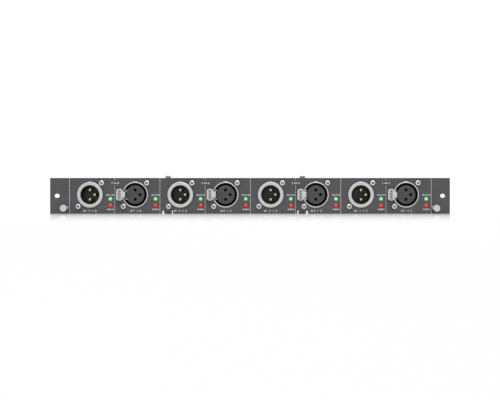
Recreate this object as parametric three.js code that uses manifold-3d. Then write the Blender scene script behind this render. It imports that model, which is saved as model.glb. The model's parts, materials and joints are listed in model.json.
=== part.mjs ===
// A plug-in eight-port XLR card for a modular microphone preamp rack: four male output ports and four
// female input ports on a narrow front panel, with the circuit board and its frame behind it.
// Units are millimetres. +X runs to the right, +Y runs from the front panel into the rack and +Z is up.
// The origin is under the middle of the card, on the surface that the panel's lower edge stands on.
import * as THREE from 'three';
import { mergeVertices } from 'three/addons/utils/BufferGeometryUtils.js';
import Module from 'manifold-3d';

const wasm = await Module();
wasm.setup();

// Driving dimensions. Depths are measured back from the front face of the panel.
const GAP = 0.3;                      // clearance between neighbouring pieces
const PITCH = 38.1;                   // from one port to the next
const PORT_COUNT = 8;
const FIRST_PORT_X = -135;
const PORT_Z = 15.93;                 // height of the port axes
const PANEL = { width: 337.4, height: 30.1, thickness: 2 };
const FRONT_MOST = -4;                // front of the corner knobs and push plates
const BACK_MOST = 176;                // mating face of the rear connector
const SCREW_OFFSET = 9.9;             // port axis to each screw axis, across and up
const LAMP = { x: 17.1, upperZ: 12.47, lowerZ: 7.33, radius: 1.5, housingWidth: 4.6 };
const EAR_HOLE = { x: 162.6, z: 15.05, width: 4.2, height: 3.5 };
const KNOB = { x: 157.1, z: 4.54, radius: 2.75, shaftRadius: 1.6 };
const TONGUE = { xs: [-69.6, 44.4], width: 6, notchWidth: 9, notchHeight: 2.3, length: 10 };
const TAB = { xs: [-69.2, 44.3], width: 4.5, top: 31.95 };

// Behind the panel.
const FLANGE = { half: 12.2, front: PANEL.thickness + GAP, thickness: 2.5, corner: 2.2 };
const FLANGE_BACK = FLANGE.front + FLANGE.thickness;
const BARREL_BACK = 15;
const MALE = { outer: 10.75, inner: 7.975, front: -1.2, floor: 12.5, pinRadius: 1.2, pinTip: -0.9 };
const FEMALE = { outer: 10.95, inner: 10, front: -0.6, insert: 7.9, insertFront: -0.4, socketRadius: 1.3 };
const PIN_CIRCLE = 3.96;              // radius of the circle that the three contacts stand on
const BOSS = { radius: 2, height: 0.3, sides: 7 };    // in the middle of a male insert's floor
const PANEL_HOLE = { male: 11.1, female: 11.35, screw: 1.6, lamp: 1.8, knob: 2 };
const BOARD = { halfWidth: 151.2, front: FLANGE_BACK + GAP, back: 168, bottom: 2.5, thickness: 1.6 };
const BOARD_TOP = BOARD.bottom + BOARD.thickness;
const SEAT = BOARD_TOP + GAP;         // where the parts on the board begin
const RAIL = { outerX: 152.8, sheet: 1.2, shelf: 8, lowTop: 20, highTop: 28.2 };
const REAR_PLATE = { front: 168.3, sheet: 1.2, top: 20 };
const REAR_CONNECTOR = { halfWidth: 47, front: 156, top: 15.4, wall: 2, cavityDepth: 7.5 };

// The lever that locks a plug into a female port, measured from the port axis.
const LATCH = {
  pivotX: -11.6, pivotY: 5.4, pivotRadius: 0.6, slotHalf: 2.9, stemHalf: 2.4,
  plate: { left: -15.6, right: -10.6, half: 4.95, front: FRONT_MOST, back: -2.8, corner: 2 },
  neckRight: -8.1, neckHalf: 2.4, hookRight: -8.6, hookBack: 1.5, hookHalf: 1.2,
};

const FINISH = {
  darkPaint: { color: 0x55555a, roughness: 0.6, metalness: 0.1 },
  zincPlate: { color: 0xb4b6b8, roughness: 0.4, metalness: 0.9 },
  nickel: { color: 0xc4c4c4, roughness: 0.3, metalness: 1 },
  blackPlastic: { color: 0x222224, roughness: 0.5, metalness: 0 },
  greyPlastic: { color: 0x535355, roughness: 0.5, metalness: 0 },
  board: { color: 0x1d4a2c, roughness: 0.5, metalness: 0 },
  connectorGrey: { color: 0x9a978c, roughness: 0.6, metalness: 0 },
  lamp: { color: 0x2b2b2d, roughness: 0.4, metalness: 0 },
};

// ---- Geometry helpers ----

/** Turns a closed geometry into a solid that can be joined and cut. */
function toSolid(geometry) {
  geometry.deleteAttribute('normal');
  geometry.deleteAttribute('uv');
  const merged = mergeVertices(geometry, 1e-4);
  const index = merged.index.array;
  const triangles = [];
  for (let i = 0; i < index.length; i += 3) {
    const [a, b, c] = [index[i], index[i + 1], index[i + 2]];
    if (a !== b && b !== c && c !== a) triangles.push(a, b, c);
  }
  return new wasm.Manifold(new wasm.Mesh({
    numProp: 3,
    vertProperties: new Float32Array(merged.attributes.position.array),
    triVerts: new Uint32Array(triangles),
  }));
}

/** Turns a solid back into a geometry. */
function toGeometry(solid) {
  const { vertProperties, triVerts } = solid.getMesh();
  const geometry = new THREE.BufferGeometry();
  geometry.setAttribute('position', new THREE.BufferAttribute(vertProperties, 3));
  geometry.setIndex(new THREE.BufferAttribute(triVerts, 1));
  geometry.computeVertexNormals();
  return geometry;
}

function join(solids) {
  return solids.reduce((whole, solid) => whole.add(solid));
}

function cut(solid, tools) {
  return tools.reduce((left, tool) => left.subtract(tool), solid);
}

function box([x0, x1], [y0, y1], [z0, z1]) {
  const geometry = new THREE.BoxGeometry(x1 - x0, y1 - y0, z1 - z0);
  geometry.translate((x0 + x1) / 2, (y0 + y1) / 2, (z0 + z1) / 2);
  return toSolid(geometry);
}

/** A round piece about the Y axis; the profile's points are [radius, depth]. */
function turned(profile, segments, [x, z] = [0, 0]) {
  const points = profile.map(([radius, depth]) => new THREE.Vector2(radius, depth));
  return toSolid(new THREE.LatheGeometry(points, segments).translate(x, 0, z));
}

function rod(radius, [y0, y1], segments, centre) {
  return turned([[0, y0], [radius, y0], [radius, y1], [0, y1]], segments, centre);
}

/** A tube about the Y axis. */
function sleeve([inner, outer], [y0, y1], segments) {
  return turned([[inner, y0], [outer, y0], [outer, y1], [inner, y1], [inner, y0]], segments);
}

/** Extrudes a shape drawn in X and Z from depth y0 back to depth y1. */
function extrudeAlongY(shape, [y0, y1], segments = 6) {
  const geometry = new THREE.ExtrudeGeometry(shape,
    { depth: y1 - y0, bevelEnabled: false, curveSegments: segments });
  const basis = new THREE.Matrix4().makeBasis(
    new THREE.Vector3(1, 0, 0), new THREE.Vector3(0, 0, 1), new THREE.Vector3(0, -1, 0));
  return toSolid(geometry.applyMatrix4(basis).translate(0, y1, 0));
}

/** Extrudes a shape drawn in Y and Z from x0 to x1. */
function extrudeAlongX(shape, [x0, x1], segments = 6) {
  const geometry = new THREE.ExtrudeGeometry(shape,
    { depth: x1 - x0, bevelEnabled: false, curveSegments: segments });
  const basis = new THREE.Matrix4().makeBasis(
    new THREE.Vector3(0, 1, 0), new THREE.Vector3(0, 0, 1), new THREE.Vector3(1, 0, 0));
  return toSolid(geometry.applyMatrix4(basis).translate(x0, 0, 0));
}

function polygon(points) {
  return new THREE.Shape(points.map(([u, v]) => new THREE.Vector2(u, v)));
}

function roundedRectangle([x0, x1], [z0, z1], radius) {
  const shape = new THREE.Shape();
  shape.moveTo(x0 + radius, z0);
  shape.lineTo(x1 - radius, z0);
  shape.absarc(x1 - radius, z0 + radius, radius, -Math.PI / 2, 0, false);
  shape.lineTo(x1, z1 - radius);
  shape.absarc(x1 - radius, z1 - radius, radius, 0, Math.PI / 2, false);
  shape.lineTo(x0 + radius, z1);
  shape.absarc(x0 + radius, z1 - radius, radius, Math.PI / 2, Math.PI, false);
  shape.lineTo(x0, z0 + radius);
  shape.absarc(x0 + radius, z0 + radius, radius, Math.PI, 1.5 * Math.PI, false);
  return shape;
}

function mesh(name, solid, finish) {
  const made = new THREE.Mesh(toGeometry(solid), new THREE.MeshStandardMaterial(finish));
  made.name = name;
  return made;
}

// ---- Ports ----

/** The ports from left to right: outputs are male and inputs are female, highest channels first. */
const PORTS = Array.from({ length: PORT_COUNT }, (_, i) => {
  const channel = PORT_COUNT - 1 - 2 * Math.floor(i / 2);
  const side = i % 2 === 0 ? 'output' : 'input';
  return { x: FIRST_PORT_X + i * PITCH, side, label: `${channel}${channel + 1}` };
});

const SCREW_SIGNS = { upper: 1, lower: -1 };
const CONTACT_POINTS = [[0, PIN_CIRCLE], [0, -PIN_CIRCLE], [PIN_CIRCLE, 0]];
const PORT_SEGMENTS = 28;
const SMALL_SEGMENTS = 8;             // round screws, pins, lamps and their holes

/** The square mounting flange behind the panel, with its two screw holes. */
function flange(boreRadius) {
  const square = [-FLANGE.half, FLANGE.half];
  const plate = extrudeAlongY(roundedRectangle(square, square, FLANGE.corner),
    [FLANGE.front, FLANGE_BACK], 3);
  const bore = rod(boreRadius, [FLANGE.front - 1, FLANGE_BACK + 1], PORT_SEGMENTS);
  const screwHoles = Object.values(SCREW_SIGNS).map((sign) => rod(PANEL_HOLE.screw,
    [FLANGE.front - 1, FLANGE_BACK + 1], SMALL_SEGMENTS,
    [sign * SCREW_OFFSET, sign * SCREW_OFFSET]));
  return cut(plate, [bore, ...screwHoles]);
}

function maleShell() {
  const tube = sleeve([MALE.inner, MALE.outer], [MALE.front, BARREL_BACK], PORT_SEGMENTS);
  return join([tube, flange(MALE.outer - 0.5)]);
}

/** The insulator at the bottom of a male port, with its three pins and the block on the board. */
function maleInsert() {
  const disc = rod(MALE.inner - GAP, [MALE.floor, BARREL_BACK + 1], 20);
  const boss = rod(BOSS.radius, [MALE.floor - BOSS.height, MALE.floor + 1], BOSS.sides);
  const pins = CONTACT_POINTS.map((point) => turned([
    [0, MALE.pinTip], [0.7, MALE.pinTip + 0.2], [MALE.pinRadius, MALE.pinTip + 1],
    [MALE.pinRadius, MALE.floor + 1], [0, MALE.floor + 1],
  ], SMALL_SEGMENTS, point));
  return join([disc, boss, insertBlock(), ...pins]);
}

/** The part of a connector behind its barrel, which stands on the board. */
function insertBlock() {
  const bottom = SEAT - PORT_Z;
  const shape = polygon([[-9.5, bottom], [9.5, bottom], [9.5, 4], [5, 9], [-5, 9], [-9.5, 4]]);
  return extrudeAlongY(shape, [BARREL_BACK + GAP, 24]);
}

/** A female port's shell: a thin ring, and cheeks on its left that carry the locking lever. */
function femaleShell() {
  const tube = sleeve([FEMALE.inner, FEMALE.outer], [FEMALE.front, BARREL_BACK], PORT_SEGMENTS);
  const cheeks = cut(box([-13.2, -8], [FLANGE.front, 8.2], [-4.8, 4.8]),
    [rod(FEMALE.outer - 0.5, [0, 10], PORT_SEGMENTS)]);
  const body = join([tube, flange(FEMALE.outer - 0.5), cheeks]);
  const slot = box([-14, -7], [FEMALE.front - 1, 9.2], [-LATCH.slotHalf, LATCH.slotHalf]);
  const pivotHole = rod(LATCH.pivotRadius + 0.2, [-6, 6], SMALL_SEGMENTS);
  return cut(body, [slot, standUp(pivotHole)]);
}

/** Turns a rod that lies about the Y axis into one about the latch's upright pivot. */
function standUp(solid) {
  return solid.rotate([90, 0, 0]).translate([LATCH.pivotX, LATCH.pivotY, 0]);
}

/** The insulator of a female port, with three blind sockets and the block on the board. */
function femaleInsert() {
  const body = rod(FEMALE.insert, [FEMALE.insertFront, BARREL_BACK + 1], 24);
  const web = rod(FEMALE.inner - GAP, [BARREL_BACK - 2, BARREL_BACK + 1], 24);
  const sockets = CONTACT_POINTS.map((point) => rod(FEMALE.socketRadius,
    [FEMALE.insertFront - 1, 11], SMALL_SEGMENTS, point));
  return cut(join([body, web, insertBlock()]), sockets);
}

/** The sprung lever of a female port: push plate, neck, hook, and a stem on pivot pins. */
function latchLever() {
  const { plate } = LATCH;
  const depth = [plate.front, plate.back];
  const pad = extrudeAlongY(roundedRectangle([plate.left, plate.right],
    [-plate.half, plate.half], plate.corner), depth, 3);
  const neck = box([plate.right - 1, LATCH.neckRight], depth, [-LATCH.neckHalf, LATCH.neckHalf]);
  const hook = box([LATCH.hookRight - 0.8, LATCH.hookRight], [plate.back - 0.5, LATCH.hookBack],
    [-LATCH.hookHalf, LATCH.hookHalf]);
  const stem = box([LATCH.pivotX - 0.6, LATCH.pivotX + 0.6], [plate.back - 0.5, LATCH.pivotY],
    [-LATCH.stemHalf, LATCH.stemHalf]);
  const barrel = standUp(rod(1.2, [-LATCH.stemHalf, LATCH.stemHalf], SMALL_SEGMENTS));
  const pivotPins = standUp(rod(LATCH.pivotRadius, [-4.4, 4.4], SMALL_SEGMENTS));
  return join([pad, neck, hook, stem, barrel, pivotPins]);
}

/** A pan-head screw with a round recess, from the front of the panel into a flange. */
function portScrew() {
  return turned([
    [0, -1.2], [1.1, -2.1], [1.8, -1.9], [2.4, -1], [2.4, -GAP],
    [1.2, -GAP], [1.2, FLANGE_BACK + 1.5], [0, FLANGE_BACK + 1.5],
  ], SMALL_SEGMENTS);
}

/** Two round lamps, one above the other, in one housing on the front edge of the board. */
function lampPair() {
  const half = LAMP.housingWidth / 2;
  const housing = box([-half, half], [FLANGE.front, 9.5], [SEAT, LAMP.upperZ + half + 0.6]);
  const lenses = [LAMP.upperZ, LAMP.lowerZ].map((z) => turned([
    [0, -1], [1.1, -0.6], [LAMP.radius, 0.2],
    [LAMP.radius, FLANGE.front + 0.5], [0, FLANGE.front + 0.5],
  ], SMALL_SEGMENTS, [0, z]));
  return join([housing, ...lenses]);
}

function outputPort({ label }) {
  return [
    mesh(`output_shell_${label}`, maleShell(), FINISH.nickel),
    mesh(`output_insert_${label}`, maleInsert(), FINISH.blackPlastic),
  ];
}

function inputPort({ label }) {
  return [
    mesh(`input_shell_${label}`, femaleShell(), FINISH.nickel),
    mesh(`input_insert_${label}`, femaleInsert(), FINISH.greyPlastic),
    mesh(`input_latch_${label}`, latchLever(), FINISH.nickel),
  ];
}

/** A port with its screws, about its own axis, and its lamps beside it. */
function port(spec) {
  const group = new THREE.Group();
  group.position.x = spec.x;
  const axis = new THREE.Group();
  axis.position.z = PORT_Z;
  axis.add(...(spec.side === 'output' ? outputPort(spec) : inputPort(spec)));
  for (const [place, sign] of Object.entries(SCREW_SIGNS)) {
    const screw = mesh(`${spec.side}_screw_${place}_${spec.label}`, portScrew(), FINISH.nickel);
    screw.position.set(sign * SCREW_OFFSET, 0, sign * SCREW_OFFSET);
    axis.add(screw);
  }
  const lamps = mesh(`${spec.side}_lamps_${spec.label}`, lampPair(), FINISH.lamp);
  lamps.position.x = LAMP.x;
  group.add(axis, lamps);
  return group;
}

// ---- Front panel ----

function circle(x, z, radius) {
  return new THREE.Path().absarc(x, z, radius, 0, 2 * Math.PI, true);
}

/** The opening for a female port: a circle with a square bay on its left for the lever's stem. */
function femaleOpening(x) {
  const half = LATCH.slotHalf + GAP;
  const angle = Math.asin(half / PANEL_HOLE.female);
  const path = new THREE.Path();
  path.absarc(x, PORT_Z, PANEL_HOLE.female, Math.PI + angle, Math.PI - angle, false);
  path.lineTo(x - 13.6, PORT_Z + half);
  path.lineTo(x - 13.6, PORT_Z - half);
  path.closePath();
  return path;
}

/** The panel's outline, with the two notches in its lower edge. */
function panelOutline() {
  const half = PANEL.width / 2;
  const outline = [[-half, 0]];
  for (const x of TONGUE.xs) {
    const [left, right] = [x - TONGUE.notchWidth / 2, x + TONGUE.notchWidth / 2];
    outline.push([left, 0], [left, TONGUE.notchHeight], [right, TONGUE.notchHeight], [right, 0]);
  }
  outline.push([half, 0], [half, PANEL.height], [-half, PANEL.height]);
  return polygon(outline);
}

/** A tongue of the panel's own sheet, bent back under the board between its two relief slits. */
function tongue(x) {
  const { thickness } = PANEL;
  const bend = thickness + 0.5;
  const shape = new THREE.Shape();
  shape.moveTo(0, bend + 0.2);
  shape.absarc(bend, bend, bend, Math.PI, 1.5 * Math.PI, false);
  shape.lineTo(bend + TONGUE.length, 0);
  shape.lineTo(bend + TONGUE.length, thickness);
  shape.absarc(bend, bend, bend - thickness, 1.5 * Math.PI, Math.PI, true);
  shape.lineTo(thickness, bend + 0.2);
  return extrudeAlongX(shape, [x - TONGUE.width / 2, x + TONGUE.width / 2]);
}

function frontPanel() {
  const plate = extrudeAlongY(panelOutline(), [0, PANEL.thickness]);
  const depth = [-1, PANEL.thickness + 1];
  const tools = [];
  for (const { x, side } of PORTS) {
    tools.push(side === 'output' ? rod(PANEL_HOLE.male, depth, PORT_SEGMENTS, [x, PORT_Z])
      : extrudeAlongY(new THREE.Shape(femaleOpening(x).getPoints(PORT_SEGMENTS)), depth));
    for (const sign of Object.values(SCREW_SIGNS)) {
      const offset = sign * SCREW_OFFSET;
      tools.push(rod(PANEL_HOLE.screw, depth, SMALL_SEGMENTS, [x + offset, PORT_Z + offset]));
    }
    for (const z of [LAMP.upperZ, LAMP.lowerZ]) {
      tools.push(rod(PANEL_HOLE.lamp, depth, SMALL_SEGMENTS, [x + LAMP.x, z]));
    }
  }
  for (const sign of [-1, 1]) {
    const centre = [sign * EAR_HOLE.x, EAR_HOLE.z];
    tools.push(rod(1, depth, 16).scale([EAR_HOLE.width / 2, 1, EAR_HOLE.height / 2])
      .translate([centre[0], 0, centre[1]]));
    tools.push(rod(PANEL_HOLE.knob, depth, 12, [sign * KNOB.x, KNOB.z]));
  }
  return join([cut(plate, tools), ...TONGUE.xs.map(tongue)]);
}

// ---- Frame and board ----

/** A strip along the panel's top edge, with two tabs that locate the card in the rack. */
function topRail() {
  const strip = box([-151, 151], [FLANGE.front, 12], [FLANGE.half + PORT_Z + 0.4, 29.6]);
  const tabs = TAB.xs.map((x) => box([x - TAB.width / 2, x + TAB.width / 2],
    [FLANGE.front, FLANGE.front + 1.2], [29, TAB.top]));
  return join([strip, ...tabs]);
}

/** A side rail of bent sheet: an upright web that slides in the rack, and a shelf under the board. */
function sideRail(sign) {
  const web = polygon([[FLANGE.front, 0], [BOARD.back, 0], [BOARD.back, RAIL.lowTop],
    [40, RAIL.lowTop], [26, RAIL.highTop], [FLANGE.front, RAIL.highTop]]);
  const webX = [RAIL.outerX - RAIL.sheet, RAIL.outerX];
  const shelfX = [RAIL.outerX - RAIL.shelf, RAIL.outerX - 0.1];
  const facing = ([near, far]) => (sign > 0 ? [near, far] : [-far, -near]);
  return join([
    extrudeAlongX(web, facing(webX)),
    box(facing(shelfX), [BOARD.front, BOARD.back], [1, 1 + RAIL.sheet]),
  ]);
}

/** The upright plate at the back, with a window for the rear connector and a tab bent at each end. */
function rearPlate() {
  const width = [-RAIL.outerX + RAIL.sheet + GAP, RAIL.outerX - RAIL.sheet - GAP];
  const depth = [REAR_PLATE.front, REAR_PLATE.front + REAR_PLATE.sheet];
  const plate = box(width, depth, [SEAT, REAR_PLATE.top]);
  const half = REAR_CONNECTOR.halfWidth + 0.5;
  const window = box([-half, half], [depth[0] - 1, depth[1] + 1], [0, REAR_CONNECTOR.top + 0.5]);
  const endTabs = [[width[0], width[0] + REAR_PLATE.sheet], [width[1] - REAR_PLATE.sheet, width[1]]]
    .map((x) => box(x, [REAR_PLATE.front - 12, depth[0] + 0.5], [SEAT + 1, REAR_PLATE.top - 2]));
  return join([cut(plate, [window]), ...endTabs]);
}

/** The circuit board, with clearance holes for its fixing screws. */
function mainBoard() {
  const { halfWidth, front, back, bottom } = BOARD;
  const outline = polygon([[-halfWidth, front], [halfWidth, front], [halfWidth, back],
    [-halfWidth, back]]);
  for (const x of [-147.5, 147.5]) {
    for (const y of [20, 90, 160]) outline.holes.push(circle(x, y, 1.6));
  }
  return toSolid(new THREE.ExtrudeGeometry(outline,
    { depth: BOARD.thickness, bevelEnabled: false, curveSegments: 5 }).translate(0, 0, bottom));
}

/** The many-way connector at the back, a long box with a shrouded hollow for its mate. */
function rearConnector() {
  const { halfWidth, front, top, wall, cavityDepth } = REAR_CONNECTOR;
  const body = box([-halfWidth, halfWidth], [front, BACK_MOST], [SEAT, top]);
  const hollow = box([-halfWidth + 2 * wall, halfWidth - 2 * wall],
    [BACK_MOST - cavityDepth, BACK_MOST + 1], [SEAT + wall, top - wall]);
  return cut(body, [hollow]);
}

/** A low block on the board with its upper edges chamfered. */
function boardBlock([x, y], [width, depth, height], chamfer) {
  const [w, d] = [width / 2, depth / 2];
  const top = SEAT + height;
  const across = polygon([[x - w, SEAT], [x + w, SEAT], [x + w, top - chamfer],
    [x + w - chamfer, top], [x - w + chamfer, top], [x - w, top - chamfer]]);
  const along = polygon([[y - d, SEAT], [y + d, SEAT], [y + d, top - chamfer],
    [y + d - chamfer, top], [y - d + chamfer, top], [y - d, top - chamfer]]);
  return extrudeAlongY(across, [y - d, y + d]).intersect(extrudeAlongX(along, [x - w, x + w]));
}

// ---- Corner fasteners ----

/** A knob with a pointer nose towards the middle of the panel, and the shaft behind it. */
function knob(sign) {
  const head = turned([
    [0, FRONT_MOST], [KNOB.radius - 0.5, FRONT_MOST], [KNOB.radius, FRONT_MOST + 0.5],
    [KNOB.radius, -0.6], [KNOB.shaftRadius, -0.6], [KNOB.shaftRadius, 3],
    [1, 3], [1, 5.7], [1.7, 5.7], [1.7, 6.4], [0, 6.4],
  ], 16);
  const nose = polygon([[1, -1.2], [3.4, -1.2], [4.8, 0.1], [4.8, 1.2], [3.5, 2.2], [1, 2.2]]
    .map(([x, z]) => [-sign * x, z]));
  return join([head, extrudeAlongY(nose, [-1.9, -0.6])]);
}

/** The flat pawl on the back of a knob's shaft. */
function pawl() {
  const shape = roundedRectangle([-2, 2], [-2, 6.2], 1.6);
  const body = extrudeAlongY(shape, [3 + GAP, 5.7 - GAP], 4);
  return cut(body, [rod(1 + GAP, [2, 7], SMALL_SEGMENTS)]);
}

function cornerFastener(side, sign) {
  const group = new THREE.Group();
  group.position.set(sign * KNOB.x, 0, KNOB.z);
  group.add(
    mesh(`knob_${side}`, knob(sign), FINISH.nickel),
    mesh(`pawl_${side}`, pawl(), FINISH.zincPlate),
  );
  return group;
}

// ---- Assembly ----

const TRANSFORMER = { size: [17, 13, 8], y: 42, chamfer: 0.8 };
const PROCESSOR = { size: [28, 28, 2.2], centre: [0, 105], chamfer: 0.4 };

function transformers() {
  return PORTS.filter(({ side }) => side === 'output').map(({ x, label }) => mesh(
    `transformer_${label}`,
    boardBlock([x + PITCH / 2, TRANSFORMER.y], TRANSFORMER.size, TRANSFORMER.chamfer),
    FINISH.blackPlastic));
}

const card = new THREE.Group();
card.position.y = -(FRONT_MOST + BACK_MOST) / 2;
card.add(
  mesh('front_panel', frontPanel(), FINISH.darkPaint),
  mesh('top_rail', topRail(), FINISH.zincPlate),
  mesh('side_rail_left', sideRail(-1), FINISH.zincPlate),
  mesh('side_rail_right', sideRail(1), FINISH.zincPlate),
  mesh('rear_plate', rearPlate(), FINISH.zincPlate),
  mesh('main_board', mainBoard(), FINISH.board),
  mesh('rear_connector', rearConnector(), FINISH.connectorGrey),
  mesh('processor', boardBlock(PROCESSOR.centre, PROCESSOR.size, PROCESSOR.chamfer),
    FINISH.blackPlastic),
  ...transformers(),
  cornerFastener('left', -1),
  cornerFastener('right', 1),
  ...PORTS.map(port),
);

const group = new THREE.Group();
group.add(card);

export default group;
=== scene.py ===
import json
import math
import random

import bmesh
import bpy
from mathutils import Matrix, Vector
from mathutils.geometry import tessellate_polygon


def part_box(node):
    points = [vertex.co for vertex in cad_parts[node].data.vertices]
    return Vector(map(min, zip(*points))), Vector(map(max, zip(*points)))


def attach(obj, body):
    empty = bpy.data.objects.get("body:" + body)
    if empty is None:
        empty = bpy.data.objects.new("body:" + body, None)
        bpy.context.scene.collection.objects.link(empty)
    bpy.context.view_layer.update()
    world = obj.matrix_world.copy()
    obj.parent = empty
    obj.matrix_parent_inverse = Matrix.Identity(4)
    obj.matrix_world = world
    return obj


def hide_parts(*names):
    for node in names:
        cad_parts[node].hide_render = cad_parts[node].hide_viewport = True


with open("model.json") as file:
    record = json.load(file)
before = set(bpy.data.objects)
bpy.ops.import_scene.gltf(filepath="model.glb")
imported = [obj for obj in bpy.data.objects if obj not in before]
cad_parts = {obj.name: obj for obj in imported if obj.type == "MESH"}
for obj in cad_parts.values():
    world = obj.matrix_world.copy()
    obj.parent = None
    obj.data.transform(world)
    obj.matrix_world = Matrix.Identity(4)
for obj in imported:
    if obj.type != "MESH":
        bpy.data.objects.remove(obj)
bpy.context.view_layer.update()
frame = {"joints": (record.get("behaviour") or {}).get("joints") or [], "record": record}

# The looks of a plug-in eight-port card for a microphone preamp rack. Shapes are drawn in millimetres.
# "Depth" is measured back from the front face of the panel, and a port's pieces are drawn about its axis.
MM = 0.001
CARD = "card"

panel_low, panel_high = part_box("front_panel")
PANEL_FRONT = panel_low.y / MM                    # the row frame's Y at depth 0
PANEL_HALF = panel_high.x / MM
PANEL_HEIGHT = panel_high.z / MM
SHEET = 2.0                                       # thickness of the panel
board_low, board_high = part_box("main_board")
BOARD_FRONT = (board_low.y - panel_low.y) / MM
BOARD_BACK = (board_high.y - panel_low.y) / MM
BOARD_HALF = board_high.x / MM
TOP, BOTTOM = board_high.z / MM, board_low.z / MM  # heights of the board's two faces

# Ports: {(side, label): (x, z) of the axis}, from the record's mounts.
PORTS = {}
for mount in frame["record"]["mounts"]:
    title = mount["name"].split("_")
    if title[1:2] == ["port"]:
        PORTS[title[0], title[2]] = (mount["pos_m"][0] / MM, mount["pos_m"][2] / MM)
PIVOTS = {j["child"]: Vector(j["pos_m"]) / MM for j in frame["joints"]}
PITCH = 38.1
RULE_PITCH, RULE_SHIFT = 38.15, 0.3               # the printed lines between the ports
SCREW_OFFSET = 9.9
CONTACTS = [(0, 3.96), (0, -3.96), (3.96, 0)]
MALE_OUTER, MALE_INNER, MALE_FRONT, CUP_FLOOR, PIN_TIP = 10.9, 8.1, -1.2, 12.5, -0.9
FEMALE_OUTER, FEMALE_INNER, FEMALE_FRONT = 10.95, 10.0, -0.6
INSERT_RADIUS, INSERT_FRONT = 7.9, -0.4
FLANGE_FRONT, FLANGE_BACK, FLANGE_HALF = 2.3, 4.8, 12.2
BARREL_BACK = 15.0
LEVER_PIN = (-11.6, 5.4)                          # (x, depth) of the pin that a lever tips about
LAMP_X, LAMP_RADIUS = 17.1, 1.5
OUTPUT_OPENING, LAMP_OPENING, KNOB_OPENING = 11.2, 1.72, 2  # radii of round holes in the panel
LAMP_Z = {"green": 12.47, "red": 7.33}
PORT_Z = next(iter(PORTS.values()))[1]


# ---- Camera ----

def add_object(name, data):
    obj = bpy.data.objects.new(name, data)
    bpy.context.scene.collection.objects.link(obj)
    return obj


def make_camera():
    """Straight on from 1 m away, a little below the middle of the panel."""
    data = bpy.data.cameras.new("camera")
    data.lens, data.sensor_width = 85.33, 36
    data.clip_start, data.clip_end = 0.02, 40
    view_width, eye_height = 0.4219, 0.01148
    distance = view_width * data.lens / data.sensor_width
    camera = add_object("camera", data)
    camera.location = (0, panel_low.y - distance, eye_height)
    camera.rotation_euler = (math.radians(90), 0, 0)
    bpy.context.scene.camera = camera


# ---- Outlines ----

def circle(centre, radius, steps=48):
    x, y = centre
    return [(x + radius * math.cos(a), y + radius * math.sin(a))
            for a in (math.tau * i / steps for i in range(steps))]


def arc(centre, radius, start, end, steps=24):
    """Points on an arc between two angles in degrees."""
    x, y = centre
    angles = [math.radians(start + (end - start) * i / steps) for i in range(steps + 1)]
    return [(x + radius * math.cos(a), y + radius * math.sin(a)) for a in angles]


def rounded(corners, radius=0.0, steps=5, closed=True):
    """Rounds the corners of an outline. A corner's own radius is its third number."""
    points = []
    count = len(corners)
    for i, corner in enumerate(corners):
        here = Vector(corner[:2])
        r = corner[2] if len(corner) > 2 else radius
        ends = not closed and i in (0, count - 1)
        if r <= 0 or ends:
            points.append(tuple(here))
            continue
        before = (Vector(corners[i - 1][:2]) - here)
        after = (Vector(corners[(i + 1) % count][:2]) - here)
        half = before.angle(after) / 2
        reach = min(r / math.tan(half), before.length * 0.49, after.length * 0.49)
        r = reach * math.tan(half)
        start, stop = here + before.normalized() * reach, here + after.normalized() * reach
        middle = here + (before.normalized() + after.normalized()).normalized() * r / math.sin(half)
        for k in range(steps + 1):
            spoke = (start - middle).lerp(stop - middle, k / steps).normalized() * r
            points.append(tuple(middle + spoke))
    return points


def rectangle(x0, x1, y0, y1, radius=0.0):
    return rounded([(x0, y0), (x1, y0), (x1, y1), (x0, y1)], radius)


def centred(x, y, width, height, radius=0.0):
    """A rectangle about its middle."""
    return rectangle(x - width / 2, x + width / 2, y - height / 2, y + height / 2, radius)


# ---- Solids ----

def lathe(profile, segments=64, lobes=None, centre=(0, 0), sweep=360):
    """Turns (radius, depth) points about the Y axis. lobes maps a point's number to (count, share)."""
    bm = bmesh.new()
    full = sweep >= 360
    steps = segments if full else max(8, round(segments * sweep / 360))
    rings = []
    for n, (radius, depth) in enumerate(profile):
        if radius <= 1e-6:
            rings.append([bm.verts.new((centre[0], depth, centre[1]))])
            continue
        ring = []
        for i in range(steps if full else steps + 1):
            a = math.radians(-sweep / 2 + sweep * i / steps)
            r = radius
            if lobes and n in lobes:
                count, share = lobes[n]
                r *= 1 + share * math.cos(count * a)
            ring.append(bm.verts.new((centre[0] + r * math.cos(a), depth, centre[1] + r * math.sin(a))))
        rings.append(ring)
    closed = len(rings[0]) > 1 and len(rings[-1]) > 1
    pairs = list(zip(rings, rings[1:])) + ([(rings[-1], rings[0])] if closed else [])
    for a, b in pairs:
        bridge(bm, a, b, full)
    if not full:
        for end in (0, -1):
            bm.faces.new([ring[end] for ring in rings])
    return outward(bm)


def bridge(bm, a, b, full=True):
    """Fills between two rings of vertices, either of which may be a single point."""
    count = max(len(a), len(b))
    for i in range(count if full else count - 1):
        j = (i + 1) % count
        if len(a) == 1 and len(b) == 1:
            continue
        if len(a) == 1:
            bm.faces.new((a[0], b[i], b[j]))
        elif len(b) == 1:
            bm.faces.new((a[i], a[j], b[0]))
        else:
            bm.faces.new((a[i], a[j], b[j], b[i]))


def outward(bm):
    bmesh.ops.recalc_face_normals(bm, faces=bm.faces)
    return bm


# How a plate is placed: which of (across, up, level) goes to X, Y and Z.
STAND = (0, 2, 1)                                 # drawn in X and Z, thick in Y
SIDE = (2, 0, 1)                                  # drawn in Y and Z, thick in X
FLAT = (0, 1, 2)                                  # drawn in X and Y, thick in Z


def area(loop):
    return sum(x0 * y1 - x1 * y0 for (x0, y0), (x1, y1) in zip(loop, loop[1:] + loop[:1])) / 2


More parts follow.
